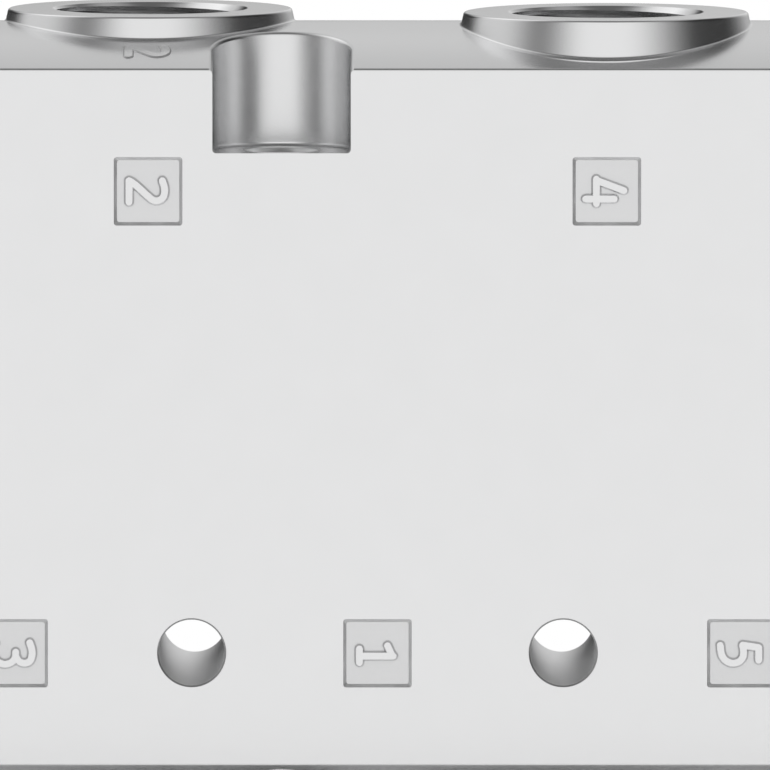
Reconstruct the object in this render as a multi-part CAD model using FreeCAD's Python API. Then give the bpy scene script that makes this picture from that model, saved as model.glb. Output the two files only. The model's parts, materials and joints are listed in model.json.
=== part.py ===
"""Air-piloted 5/2-way spool valve with a spring return, in millimetres.

X runs along the spool, from the spring end (-X) to the pilot end (+X). The back is +Y and the top is +Z.
The origin is the centre of port 1, in the plane of the lower port collars.
At rest air passes from port 1 to port 2 and from port 4 to port 5. With pressure on port 14 the spool
moves towards -X, and air passes from port 1 to port 4 and from port 2 to port 3.
"""
import FreeCAD, Part
import math
import os

# Body casting
body_length = 55.0
body_width = 20.0
face_height = 34.8        # flat front, from its lower to its upper edge
crown_rise = 1.75         # top and bottom bulge by this much at mid-width
edge_round = 0.15

# Ports with G1/8 threads
thread_minor_r = 4.283
thread_major_r = 4.864
port_depth = 8.0          # from the collar's face to the bottom of the thread
channel_r = 2.5
collar_r = 7.15
collar_draft = 0.15       # the collar's foot is this much wider than its rim
collar_proud = 0.58       # collar face above the crown's highest line
outlet_x = 11.43          # ports 2 and 4 from the middle of the body
outlet_stagger = 1.5      # port 4 lies this far to the front, and port 2 to the back

# Seal and spacer stack in the spool bore
bore_r = 5.0
chamber_pitch = 9.075     # one air chamber to the next; ports 1, 3 and 5 are two chambers apart
seal_width = 2.0
seal_lip_width = 0.7
seal_side_r = 4.1
stack_gap = 0.03          # rings in the bore, radial
spacer_wall = 0.95
window_width = 2.0
window_length = 4.6
window_cuts = 2           # each cut goes right across the cage and opens two windows

# Spool
land_r = 3.5
neck_r = 2.2
neck_flank = 1.0          # axial length of the slope between land and neck
stroke = 4.0
seal_overlap = 0.3        # land beyond the edge of a closed seal
running_gap = 0.03        # spool in its bushes, radial
lip_gap = 0.02            # seal lips on the face that slides past them
spool_chamfer = 0.4
stub_r = 2.0
stub_length = 2.0

# Guide bushes
flange_thickness = 1.2
flange_seat_gap = 0.04

# Pilot piston and its cylinder
cylinder_r = 7.0
flange_lap = 1.0          # the cover's rim holds the bush flange by this much
piston_gap = 0.15
piston_boss_r = 3.3
piston_boss_length = 1.2
piston_length = 4.3
piston_groove_width = 2.1
piston_groove_depth = 1.45
piston_groove_gap = 0.05
piston_seal_lip = 0.4
piston_seal_notch = 1.0
spool_reach = 4.0         # spool beyond the body's end face on the pilot side at rest

# Bumpers
bumper_gap = 0.05
inner_bumper_r = (4.0, 6.2)
outer_bumper_r = (2.6, 5.5)
outer_bumper_thickness = 1.2

# End covers
gasket_thickness = 0.5
gasket_hole_gap = 0.2
cover_length = 16.0
cover_inset = 0.3         # cover outline inside the body's
cover_round = 1.5
cover_chamfer = 1.0
pilot_thread_r = 2.1      # M5
pilot_spot_r = 4.2
pilot_spot_depth = 0.3

# Return spring
spring_chamber_r = 4.8
spring_floor = 4.0        # thickness of the return cover behind the spring
spring_mean_r = 3.6
wire_r = 0.4
wire_sides = 6
spring_turns = 4.5
seat_gap = 0.4            # spring seat to the return bush at rest
seat_flange_r = 4.3
seat_flange_thickness = 1.2
seat_hub_r = 2.9
seat_hub_length = 2.0
seat_fit = 0.02
breather_r = 0.9
filter_r = 2.5
filter_pocket_depth = 2.0
filter_thickness = 1.8
filter_fit = 0.02

# Cover screws, M2.5 socket head
screw_r = 1.25
screw_length = 20.0
screw_head_r = 2.25
screw_head_height = 2.5
screw_socket_across = 2.0
screw_socket_depth = 1.2
screw_y = 6.7             # one screw low at the front, one high at the back
screw_z = 11.5            # below and above the spool axis
screw_hole_r = 1.4
tapped_gap = 0.02
tapped_spare = 1.0
counterbore_r = 2.45
counterbore_depth = 2.8

# Mounting holes and screw-head pockets, M3
mount_hole_r = 1.65
side_hole_x = 9.27
side_hole_height = 5.63   # above the front's lower edge
side_hole_chamfer = 0.12
pocket_x = 4.78
pocket_r = 3.45
pocket_depth = 5.9        # from the front face to the back of the pocket
pocket_fall = 4.2         # pocket floor below the front's upper edge

# Number recesses on the front
recess_side = 3.35
recess_depth = 0.2
recess_round = 0.1
low_recess_height = 5.6
high_recess_height = 28.7

# Derived places
low_edge_z = collar_proud + crown_rise
high_edge_z = low_edge_z + face_height
top_z = high_edge_z + crown_rise + collar_proud
bore_z = low_edge_z + face_height / 2
half_length = body_length / 2
half_width = body_width / 2
front_y = -half_width
cover_face_x = half_length + gasket_thickness
cover_end_x = cover_face_x + cover_length
supply_x = 2 * chamber_pitch
seal_places = [(i - 2.5) * chamber_pitch for i in range(6)]
chambers = {
    "3": -supply_x,
    "2": -chamber_pitch,
    "1": 0.0,
    "4": chamber_pitch,
    "5": supply_x,
}
ports = {
    "1": (0.0, 0.0, -1),
    "3": (-supply_x, 0.0, -1),
    "5": (supply_x, 0.0, -1),
    "2": (-outlet_x, outlet_stagger, 1),
    "4": (outlet_x, -outlet_stagger, 1),
}
stack_end_x = seal_places[-1] + seal_width / 2
flange_r = cylinder_r + flange_lap
spool_right_x = half_length + spool_reach
piston_left_x = spool_right_x + piston_boss_length
piston_right_x = piston_left_x + piston_length
cylinder_floor_x = piston_right_x + bumper_gap + outer_bumper_thickness
spool_left_x = -half_length - seat_gap
spring_near_x = spool_left_x - seat_flange_thickness
spring_far_x = -cover_end_x + spring_floor
screw_seat_x = cover_end_x - counterbore_depth


def vec(x, y, z):
    return FreeCAD.Vector(x, y, z)


def along_x(radius, x_from, x_to, y=0.0, z=bore_z):
    """Cylinder parallel to the spool, between two places along X."""
    low = min(x_from, x_to)
    return Part.makeCylinder(radius, abs(x_to - x_from), vec(low, y, z), vec(1, 0, 0))


def turned(outline):
    """Solid of revolution about the spool axis, from a closed outline of (x, radius) points."""
    points = [vec(x, 0, bore_z + radius) for x, radius in outline]
    wire = Part.makePolygon(points + points[:1])
    return Part.Face(wire).revolve(vec(0, 0, bore_z), vec(1, 0, 0), 360)


def ring(inner_r, outer_r, x_from, x_to):
    return turned([(x_from, inner_r), (x_to, inner_r), (x_to, outer_r), (x_from, outer_r)])


def mirrored(outline, side):
    """The (x, radius) outline as it is for the pilot end, or turned about for the spring end."""
    return [(side * x, radius) for x, radius in outline]


def crowned_block(x_from, x_to, inset):
    """The body's cross-section, drawn in by inset all round and run along X."""
    half = half_width - inset
    low, high = low_edge_z + inset, high_edge_z - inset
    corners = [vec(x_from, y, z) for y, z in ((-half, low), (half, low), (half, high), (-half, high))]
    outline = [
        Part.Arc(corners[0], vec(x_from, 0, low - crown_rise), corners[1]).toShape(),
        Part.makeLine(corners[1], corners[2]),
        Part.Arc(corners[2], vec(x_from, 0, high + crown_rise), corners[3]).toShape(),
        Part.makeLine(corners[3], corners[0]),
    ]
    return Part.Face(Part.Wire(outline)).extrude(vec(x_to - x_from, 0, 0))


def long_edges(shape, length):
    """Straight edges that run the shape's full length along X."""
    found = []
    for edge in shape.Edges:
        ends = edge.Vertexes
        if len(ends) == 2 and abs(abs(ends[0].X - ends[1].X) - length) < 1e-6:
            found.append(edge)
    return found


def edges_at(shape, x):
    """Edges that lie in the plane across the spool at x."""
    found = []
    for edge in shape.Edges:
        box = edge.BoundBox
        if abs(box.XMin - x) < 1e-6 and abs(box.XMax - x) < 1e-6:
            found.append(edge)
    return found


def collar(x, y, up):
    """Raised machined ring round a port, up to its face; the part inside the casting is fused away."""
    face_z = top_z if up > 0 else 0.0
    height = crown_rise + collar_proud
    foot = vec(x, y, face_z - up * height)
    return Part.makeCone(collar_r + collar_draft, collar_r, height, foot, vec(0, 0, up))


def port_cutter(name):
    """Countersink, thread and the channel to the port's air chamber."""
    x, y, up = ports[name]
    face_z = top_z if up > 0 else 0.0
    sink = thread_major_r - thread_minor_r
    inward = vec(0, 0, -up)
    mouth = Part.makeCone(thread_major_r, thread_minor_r, sink, vec(x, y, face_z), inward)
    thread = Part.makeCylinder(thread_minor_r, port_depth, vec(x, y, face_z), inward)
    start = vec(x, y, face_z - up * (port_depth - channel_r))
    run = vec(chambers[name], 0, bore_z) - start
    channel = Part.makeCylinder(channel_r, run.Length, start, run)
    return mouth.fuse([thread, channel])


def pocket_cutter(turn):
    """U-shaped space for a screw head, open to the top and to one face, and the screw's hole."""
    x, y = -turn * pocket_x, -turn * (half_width - pocket_depth + pocket_r)
    floor_z = high_edge_z - pocket_fall
    height = top_z - floor_z + 1
    mouth_y = -turn * (half_width + 1)
    slot = Part.makeBox(2 * pocket_r, abs(mouth_y - y), height, vec(x - pocket_r, min(mouth_y, y), floor_z))
    back = Part.makeCylinder(pocket_r, height, vec(x, y, floor_z))
    hole = Part.makeCylinder(mount_hole_r, floor_z + 1, vec(x, y, 0))
    return slot.fuse([back, hole])


def side_hole_cutter(x):
    z = low_edge_z + side_hole_height
    hole = Part.makeCylinder(mount_hole_r, body_width, vec(x, front_y, z), vec(0, 1, 0))
    wide_r = mount_hole_r + side_hole_chamfer
    front = Part.makeCone(wide_r, mount_hole_r, side_hole_chamfer, vec(x, front_y, z), vec(0, 1, 0))
    back = Part.makeCone(wide_r, mount_hole_r, side_hole_chamfer, vec(x, half_width, z), vec(0, -1, 0))
    return hole.fuse([front, back])


def recess_cutter(x, height):
    """Shallow square with rounded corners for a port's number."""
    corner = vec(x - recess_side / 2, front_y, low_edge_z + height - recess_side / 2)
    block = Part.makeBox(recess_side, recess_depth, recess_side, corner)
    upright = [e for e in block.Edges if abs(e.BoundBox.YLength - recess_depth) < 1e-6]
    return block.makeFillet(recess_round, upright)


def cover_screw_places():
    return [(turn * screw_y, bore_z + turn * screw_z) for turn in (-1, 1)]


def bore_cutters():
    """Spool bore, seats for the bush flanges and tapped holes for the cover screws."""
    cutters = [along_x(bore_r, -half_length, half_length)]
    tapped_depth = screw_length - (screw_seat_x - half_length) + tapped_spare
    for side in (-1, 1):
        end = side * half_length
        cutters.append(along_x(flange_r + flange_seat_gap, end, end - side * flange_thickness))
        for y, z in cover_screw_places():
            cutters.append(along_x(screw_r + tapped_gap, end, end - side * tapped_depth, y, z))
    return cutters


def valve_body():
    block = crowned_block(-half_length, half_length, 0.0)
    block = block.makeFillet(edge_round, long_edges(block, body_length))
    body = block.fuse([collar(*place) for place in ports.values()])
    cutters = [port_cutter(name) for name in ports]
    cutters += [pocket_cutter(turn) for turn in (1, -1)]
    cutters += [side_hole_cutter(x) for x in (-side_hole_x, side_hole_x)]
    for name, (x, _, up) in ports.items():
        cutters.append(recess_cutter(x, high_recess_height if up > 0 else low_recess_height))
    cutters += bore_cutters()
    return body.cut(cutters)


def spool_seal(place):
    """Rubber ring with a lip on the spool; it fills the bore between two cages."""
    half, lip = seal_width / 2, seal_lip_width / 2
    lip_r = land_r + lip_gap
    outline = [(-half, bore_r - stack_gap), (-half, seal_side_r), (-lip, lip_r)]
    outline += [(-x, radius) for x, radius in reversed(outline)]
    return turned([(place + x, radius) for x, radius in outline])


def spacer(place):
    """Windowed cage that holds two seals apart and lets air in from all sides."""
    half = (chamber_pitch - seal_width) / 2
    outer = bore_r - stack_gap
    cage = ring(outer - spacer_wall, outer, place - half, place + half)
    corner = vec(place - window_length / 2, -window_width / 2, bore_z - bore_r - 1)
    for i in range(window_cuts):
        cut = Part.makeBox(window_length, window_width, 2 * bore_r + 2, corner)
        cut.rotate(vec(0, 0, bore_z), vec(1, 0, 0), 180 / window_cuts * i)
        cage = cage.cut(cut)
    return cage


def guide_bush(side):
    inner = land_r + running_gap
    outer = bore_r - stack_gap
    flange_x = half_length - flange_thickness
    outline = [
        (stack_end_x, inner), (half_length, inner), (half_length, flange_r),
        (flange_x, flange_r), (flange_x, outer), (stack_end_x, outer),
    ]
    return turned(mirrored(outline, side))


def neck(closed_seal, open_seal):
    """Outline of one neck: it starts past a closed seal and bridges the open one; the stroke swaps them."""
    reach = seal_width / 2 + seal_overlap
    start = closed_seal + reach
    end = open_seal + stroke - reach
    return [(start, land_r), (start + neck_flank, neck_r), (end - neck_flank, neck_r), (end, land_r)]


def spool():
    left, right = spool_left_x, spool_right_x
    outline = [(left - stub_length, 0), (left - stub_length, stub_r), (left, stub_r)]
    outline += [(left, land_r - spool_chamfer), (left + spool_chamfer, land_r)]
    outline += neck(seal_places[1], seal_places[2])
    outline += neck(seal_places[3], seal_places[4])
    outline += [(right - spool_chamfer, land_r), (right, land_r - spool_chamfer), (right, 0)]
    return turned(outline)


def piston_groove():
    """Start and end of the seal groove along the piston."""
    middle = (piston_left_x + piston_right_x) / 2
    return middle - piston_groove_width / 2, middle + piston_groove_width / 2


def pilot_piston():
    skirt = cylinder_r - piston_gap
    root = skirt - piston_groove_depth
    start, end = piston_groove()
    outline = [
        (spool_right_x, 0), (spool_right_x, piston_boss_r), (piston_left_x, piston_boss_r),
        (piston_left_x, skirt), (start, skirt), (start, root), (end, root), (end, skirt),
        (piston_right_x, skirt), (piston_right_x, 0),
    ]
    return turned(outline)


def piston_seal():
    """U-cup that opens towards the pilot pressure."""
    start, end = piston_groove()
    start, end = start + piston_groove_gap, end - piston_groove_gap
    inner = cylinder_r - piston_gap - piston_groove_depth + piston_groove_gap
    outer = cylinder_r - lip_gap
    outline = [
        (start, inner), (end, inner), (end, inner + piston_seal_lip),
        (end - piston_seal_notch, (inner + outer) / 2), (end, outer - piston_seal_lip),
        (end, outer), (start, outer),
    ]
    return turned(outline)


def inner_bumper():
    thickness = piston_left_x - stroke - bumper_gap - half_length
    return ring(*inner_bumper_r, half_length, half_length + thickness)


def outer_bumper():
    return ring(*outer_bumper_r, cylinder_floor_x - outer_bumper_thickness, cylinder_floor_x)


def gasket(side, chamber_r):
    """Sheet with the cover's outline between the cover and the body."""
    face = side * half_length
    sheet = crowned_block(face, face + side * gasket_thickness, cover_inset)
    sheet = sheet.makeFillet(cover_round, long_edges(sheet, gasket_thickness))
    cutters = [along_x(chamber_r + gasket_hole_gap, face, face + side * gasket_thickness)]
    for y, z in cover_screw_places():
        cutters.append(along_x(screw_hole_r, face, face + side * gasket_thickness, y, z))
    return sheet.cut(cutters)


def cover_blank(side):
    """Cover with its screw holes, before its own chamber is bored."""
    face, end = side * cover_face_x, side * cover_end_x
    block = crowned_block(face, end, cover_inset)
    block = block.makeFillet(cover_round, long_edges(block, cover_length))
    block = block.makeChamfer(cover_chamfer, edges_at(block, end))
    cutters = []
    for y, z in cover_screw_places():
        cutters.append(along_x(screw_hole_r, face, end, y, z))
        cutters.append(along_x(counterbore_r, side * screw_seat_x, end, y, z))
    return block.cut(cutters)


def pilot_cover():
    cylinder = along_x(cylinder_r, cover_face_x, cylinder_floor_x)
    thread = along_x(pilot_thread_r, cylinder_floor_x, cover_end_x)
    spot = along_x(pilot_spot_r, cover_end_x - pilot_spot_depth, cover_end_x)
    return cover_blank(1).cut([cylinder, thread, spot])


def return_cover():
    chamber = along_x(spring_chamber_r, -cover_face_x, spring_far_x)
    breather = along_x(breather_r, spring_far_x, -cover_end_x)
    pocket = along_x(filter_r, -cover_end_x + filter_pocket_depth, -cover_end_x)
    return cover_blank(-1).cut([chamber, breather, pocket])


def breather_filter():
    seat = -cover_end_x + filter_pocket_depth
    return along_x(filter_r - filter_fit, seat, seat - filter_thickness)


def spring_seat():
    """Cap on the spool's stub, with a hub that centres the spring."""
    bore = stub_r + seat_fit
    bore_end = spool_left_x - stub_length - seat_fit
    hub_end = spring_near_x - seat_hub_length
    outline = [
        (spool_left_x, bore), (spool_left_x, seat_flange_r), (spring_near_x, seat_flange_r),
        (spring_near_x, seat_hub_r), (hub_end, seat_hub_r), (hub_end, 0), (bore_end, 0), (bore_end, bore),
    ]
    return turned(outline)


def return_spring():
    """Helical spring between seat and cover, of wire with a many-sided section inside the round one."""
    length = spring_near_x - spring_far_x - 2 * wire_r
    helix = Part.makeHelix(length / spring_turns, length, spring_mean_r)
    pitch_angle = math.atan2(length / spring_turns, 2 * math.pi * spring_mean_r)
    tangent = vec(0, math.cos(pitch_angle), math.sin(pitch_angle))
    outward = vec(1, 0, 0)
    across = tangent.cross(outward)
    corners = []
    for i in range(wire_sides + 1):
        turn = 2 * math.pi * i / wire_sides
        offset = outward * (wire_r * math.cos(turn)) + across * (wire_r * math.sin(turn))
        corners.append(vec(spring_mean_r, 0, 0) + offset)
    spring = Part.Wire(helix.Edges).makePipeShell([Part.makePolygon(corners)], True, True)
    spring.rotate(vec(0, 0, 0), vec(0, 1, 0), 90)
    spring.translate(vec(spring_far_x + wire_r, 0, bore_z))
    return spring


def cover_screw(side, y, z):
    seat = side * screw_seat_x
    top = side * (screw_seat_x + screw_head_height)
    shank = along_x(screw_r, seat, side * (screw_seat_x - screw_length), y, z)
    head = along_x(screw_head_r, seat, top, y, z)
    corner_r = screw_socket_across / 2 / math.cos(math.pi / 6)
    corners = []
    for i in range(7):
        turn = math.pi / 3 * i
        corners.append(vec(top, y + corner_r * math.cos(turn), z + corner_r * math.sin(turn)))
    socket = Part.Face(Part.makePolygon(corners)).extrude(vec(-side * screw_socket_depth, 0, 0))
    return shank.fuse(head).cut(socket)


def cover_screws(side):
    return Part.makeCompound([cover_screw(side, y, z) for y, z in cover_screw_places()])


def build():
    nodes = {
        "valve_body": valve_body(),
        "pilot_cover": pilot_cover(),
        "return_cover": return_cover(),
        "pilot_gasket": gasket(1, cylinder_r),
        "return_gasket": gasket(-1, spring_chamber_r),
        "pilot_cover_screws": cover_screws(1),
        "return_cover_screws": cover_screws(-1),
        "pilot_bush": guide_bush(1),
        "return_bush": guide_bush(-1),
        "spool": spool(),
        "pilot_piston": pilot_piston(),
        "piston_seal": piston_seal(),
        "inner_bumper": inner_bumper(),
        "outer_bumper": outer_bumper(),
        "spring_seat": spring_seat(),
        "return_spring": return_spring(),
        "breather_filter": breather_filter(),
    }
    for name, place in chambers.items():
        nodes[f"spacer_port_{name}"] = spacer(place)
    for number, place in enumerate(seal_places, start=1):
        nodes[f"spool_seal_{number}"] = spool_seal(place)
    return nodes


os.makedirs("parts", exist_ok=True)
for node, shape in build().items():
    if not shape.isValid() or shape.Volume <= 0:
        raise ValueError(f"{node} isn't a sound solid")
    shape.exportStep(f"parts/{node}.step")
    print(f"{node}: {len(shape.Solids)} solid(s), {shape.Volume:.1f} mm3")
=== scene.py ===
"""Finish and studio view of an air-piloted 5/2-way spool valve.

Shapes are worked out in millimetres and put into the frame in metres.
X runs along the spool towards the pilot cover, +Y to the back and +Z up.
"""
import bmesh
import bpy
import json
import math
from mathutils import Matrix, Vector


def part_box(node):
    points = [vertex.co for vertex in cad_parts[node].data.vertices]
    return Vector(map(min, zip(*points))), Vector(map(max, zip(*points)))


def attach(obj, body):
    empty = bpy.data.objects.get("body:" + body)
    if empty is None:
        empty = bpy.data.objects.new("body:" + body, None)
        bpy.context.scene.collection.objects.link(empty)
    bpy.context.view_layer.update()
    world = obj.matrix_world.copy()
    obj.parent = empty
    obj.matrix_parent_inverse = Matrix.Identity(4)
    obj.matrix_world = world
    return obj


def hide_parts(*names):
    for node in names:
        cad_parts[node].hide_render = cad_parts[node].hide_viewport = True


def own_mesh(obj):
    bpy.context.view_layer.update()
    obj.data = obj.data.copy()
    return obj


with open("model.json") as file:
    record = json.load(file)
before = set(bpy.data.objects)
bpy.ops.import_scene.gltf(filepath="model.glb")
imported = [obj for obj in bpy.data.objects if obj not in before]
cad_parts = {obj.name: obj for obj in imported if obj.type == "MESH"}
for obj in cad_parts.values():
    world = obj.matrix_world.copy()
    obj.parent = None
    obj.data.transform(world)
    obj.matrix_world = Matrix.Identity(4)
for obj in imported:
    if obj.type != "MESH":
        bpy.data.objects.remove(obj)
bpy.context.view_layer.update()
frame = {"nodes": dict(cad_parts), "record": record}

MM = 0.001

# The body, from its solid
body_low, body_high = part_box("valve_body")
BODY_LENGTH = (body_high.x - body_low.x) / MM
HALF_WIDTH = body_high.y / MM
TOP_FACE = body_high.z / MM
SPOOL_Z = TOP_FACE / 2
COLLAR_PROUD = 0.58
CROWN_RISE = 1.75
LOW_EDGE = COLLAR_PROUD + CROWN_RISE
HIGH_EDGE = TOP_FACE - LOW_EDGE
CROWN_R = (HALF_WIDTH ** 2 + CROWN_RISE ** 2) / (2 * CROWN_RISE)
EDGE_ROUNDS = (0.2, 0.07)

# Ports
THREAD_MAJOR = 4.78
THREAD_MINOR = 4.283
THREAD_PITCH = 0.907
SINK_R = 4.864
PORT_DEPTH = 8.0
CHANNEL_R = 2.5
COLLAR_R = 7.15
COLLAR_DRAFT = 0.12
COLLAR_RIM = 0.15
COLLAR_FOOT = 0.14
CHAMBER_PITCH = 9.075

# Holes, pockets and number recesses
MOUNT_HOLE_R = 1.65
HOLE_RIM = 0.08
POCKET_X = 4.78
POCKET_R = 3.45
POCKET_DEPTH = 5.9
POCKET_FALL = 4.2
POCKET_CORNER = 0.18
POCKET_LIP = 0.2
POCKET_HOLE_LIP = 0.22
RECESS_SIDE = 3.1
RECESS_DEPTH = 0.2
RECESS_ROUND = 0.13
RECESS_DRAFT = 0.16
LOW_RECESS = LOW_EDGE + 5.6
HIGH_RECESS = LOW_EDGE + 28.7
BORE_R = 5.0
FLANGE_SEAT_R = 8.04
FLANGE_SEAT_DEPTH = 1.2

# Covers and gaskets
COVER_INSET = 0.3
COVER_ROUNDS = (1.5, 1.5)
COVER_END_ROUND = 1.0
CYLINDER_R = 7.0
CYLINDER_FLOOR = 38.25
PILOT_SPOT_R = 4.2
PILOT_SPOT_DEPTH = 0.3
PILOT_MINOR = 2.1
PILOT_MAJOR = 2.46
PILOT_PITCH = 0.8
SPRING_CHAMBER_R = 4.8
SPRING_FLOOR = 4.0
BREATHER_R = 0.9
FILTER_POCKET_R = 2.5
FILTER_POCKET_DEPTH = 2.0
GASKET_HOLE_GAP = 0.2
MOULDED_LIP = 0.15

# Cover screws, M2.5 socket head
SCREW_PLACES = ((-6.7, SPOOL_Z - 11.5), (6.7, SPOOL_Z + 11.5))
SCREW_SEAT = 41.2
SCREW_R = 1.25
SCREW_CORE_R = 1.0
SCREW_PITCH = 0.45
SCREW_LENGTH = 20.0
SCREW_PLAIN = 3.0
SCREW_HEAD_R = 2.25
SCREW_HEAD_HEIGHT = 2.5
SCREW_SOCKET = 2.0
SCREW_SOCKET_DEPTH = 1.2
SCREW_ROOT_SET = 0.03
KNURLS = 32
KNURL_DEPTH = 0.07
SCREW_HOLE_R = 1.4
TAPPED_R = 1.27
TAPPED_DEPTH = 7.3
COUNTERBORE_R = 2.45

# Spool, seals and piston
LAND_R = 3.5
NECK_R = 2.2
NECK_FLANK = 1.0
STROKE = 4.0
SEAL_OVERLAP = 0.3
STUB_R = 2.0
STUB_LENGTH = 2.0
STUB_CHAMFER = 0.2
SPOOL_CHAMFER = 0.4
LIP_GAP = 0.02
LIP_WIDTH = 0.7
SEAL_SIDE_R = 4.1
CAGE_WALL = 0.95
WINDOW_WIDTH = 2.0
WINDOW_LENGTH = 4.6
WINDOW_ROUND = 0.3
BUSH_BORE_R = 3.53
PISTON_BOSS_R = 3.3
PISTON_BOSS_LENGTH = 1.2
GROOVE_WIDTH = 2.1
GROOVE_DEPTH = 1.45
CUP_GAP = 0.05
CUP_LIP = 0.4
CUP_DEPTH = 1.0
INNER_BUMPER_R = 4.0
OUTER_BUMPER_R = 2.6
WIRE_R = 0.4
SPRING_R = 3.6
SPRING_END_TURNS = 1.0
SPRING_TURNS = 3.5
SEAT_FLANGE = 1.2
SEAT_HUB_R = 2.9

# Corners of turned and moulded pieces
SOFT_CORNER = 0.12
FINE_CORNER = 0.08
BUMPER_CORNER = 0.25

# Raised numbers: half of a stroke's cross-section, (across, height) from the recess floor
RIB = [(0.28, -0.05), (0.195, 0.17), (0.17, 0.2)]
CROWN_NUMBER_Y = -7.7
CROWN_NUMBER_RISE = 0.06
CROWN_NUMBER_SIZE = (1.25, 1.05)
NUMBER_SHRINK = 0.006

# Centre lines of the numbers' strokes, (right, up) in millimetres from the middle of the recess
STROKES = {
    "1": (((0.14, -0.90), (0.14, 0.79)), ((-0.22, -0.90), (0.47, -0.90)), ((0.10, 0.72), (-0.38, 0.50))),
    "2": (
        (
            (-0.53, 0.71), (-0.20, 0.81), (0.05, 0.82), (0.32, 0.73), (0.47, 0.46),
            (0.44, 0.26), (0.22, -0.03), (-0.10, -0.38), (-0.42, -0.76), (-0.53, -0.95),
        ),
        ((-0.53, -0.95), (0.54, -0.95)),
    ),
    "3": (
        (
            (-0.53, 0.80), (-0.15, 0.91), (0.15, 0.90), (0.40, 0.79),
            (0.49, 0.58), (0.42, 0.30), (0.16, 0.10),
        ),
        ((-0.06, 0.10), (0.22, 0.10)),
        (
            (0.12, 0.12), (0.36, 0.0), (0.52, -0.25), (0.53, -0.58),
            (0.30, -0.90), (-0.1, -1.03), (-0.52, -0.92),
        ),
    ),
    "4": (((0.38, -1.06), (0.38, 0.37)), ((-0.61, -0.52), (0.62, -0.52)), ((-0.55, -0.52), (-0.04, 0.85))),
    "5": (
        ((-0.29, 0.87), (0.35, 0.87)),
        ((-0.29, 0.87), (-0.41, 0.07)),
        (
            (-0.41, 0.07), (0.0, 0.12), (0.27, 0.04), (0.48, -0.25),
            (0.45, -0.62), (0.2, -0.92), (-0.1, -1.02), (-0.40, -1.05),
        ),
    ),
}

# The casting's finishes in the order of its material slots; the plain skin has slot 0
CASTING = ("cast_skin", "machined_face", "raw_casting", "cored_hole", "etched_recess", "painted_edge_shade")
# The last slot is painted shade, a dark grey that draws rims and slopes as dark outlines
TURNED, RAW, CORED, ETCHED, EDGE_SHADE = range(1, 6)

# Fineness of curved faces, and the angle in degrees from which an edge is shaded sharp
TURN_STEPS = 128
CROWN_STEPS = 64
EDGE_STEPS = 8
PORT_THREAD_STEPS = 48
PILOT_THREAD_STEPS = 32
SCREW_THREAD_STEPS = 24
SHARP_ANGLE = 30

# How far cutting shapes run past a face and keep their corners off it, and how deep thread roots are set
PAST = 1
HAIR = 0.001
ROOT_SET = 0.04

# Places closer than this are the same
SAME = 1e-6

# Light levels that reflections see, from the horizon (0) to straight up (1)
FRONT_LIGHT = [(0.0, 1.0), (0.36, 0.95), (0.48, 0.75), (0.68, 0.14), (1.0, 0.12)]
BACK_LIGHT = [(0.0, 0.78), (0.27, 0.73), (0.5, 0.63), (0.76, 0.36), (1.0, 0.12)]

# Between these cosines of the heading from the camera's side, the back light gives way to the front light
FRONT_BLEND = (-0.09, 0.5)

# Dark flags: heading in degrees from the camera's side to the right, inner and outer half-width, top as a
# sine, and depth; their tops fade over this much each way
FLAGS = [
    (-55, 1, 40, 0.8, 0.76),
    (95, 15, 82, 0.8, 0.97),
    (-152, 12, 34, 0.35, 0.95),
    (-165, 12, 62, 0.0, 0.9),
]
FLAG_FADE = 0.15

# Soft light: heading, rise, inner and outer half-width in degrees, and level
SOFT_LIGHT = (-120, 50, 8, 30, 0.5)

# Floor: radius, clear radius round the valve, and how much its fade is drawn out along the valve
FLOOR_R = 170.0
FLOOR_CLEAR = 10.0
FLOOR_NARROW = 0.26

# Camera, with angles in degrees and its clipping distances in metres
LENS = 1348.6
CAMERA_TARGET = (0.375, -HALF_WIDTH, 21.355)
CAMERA_DISTANCE = 1438.0
CAMERA_ELEVATION = 4.36
CAMERA_YAW = 0.07
CAMERA_CLIP = (0.01, 10)

mounts = {m["name"]: m for m in frame["record"]["mounts"]}
SIDE_HOLE_X = mounts["side_holes"]["dims"]["spacing_x_mm"] / 2
SIDE_HOLE_Z = mounts["side_holes"]["pos_m"][2] / MM
CHAMBERS = {"1": 0, "2": -1, "3": -2, "4": 1, "5": 2}
PORTS = {}
for number, chamber in CHAMBERS.items():
    mount = mounts["port_" + number]
    PORTS[number] = ([c / MM for c in mount["pos_m"][:2]], mount["axis"][2], chamber * CHAMBER_PITCH)


class Value:
    """A shader socket; arithmetic on it adds Math nodes."""

    def __init__(self, shader, socket):
        self.shader = shader
        self.socket = socket

    def __add__(self, other):
        return self.shader.math("ADD", self, other)

    def __sub__(self, other):
        return self.shader.math("SUBTRACT", self, other)

    def __rsub__(self, other):
        return self.shader.math("SUBTRACT", other, self)

    def __mul__(self, other):
        return self.shader.math("MULTIPLY", self, other)

    __radd__ = __add__
    __rmul__ = __mul__


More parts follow.
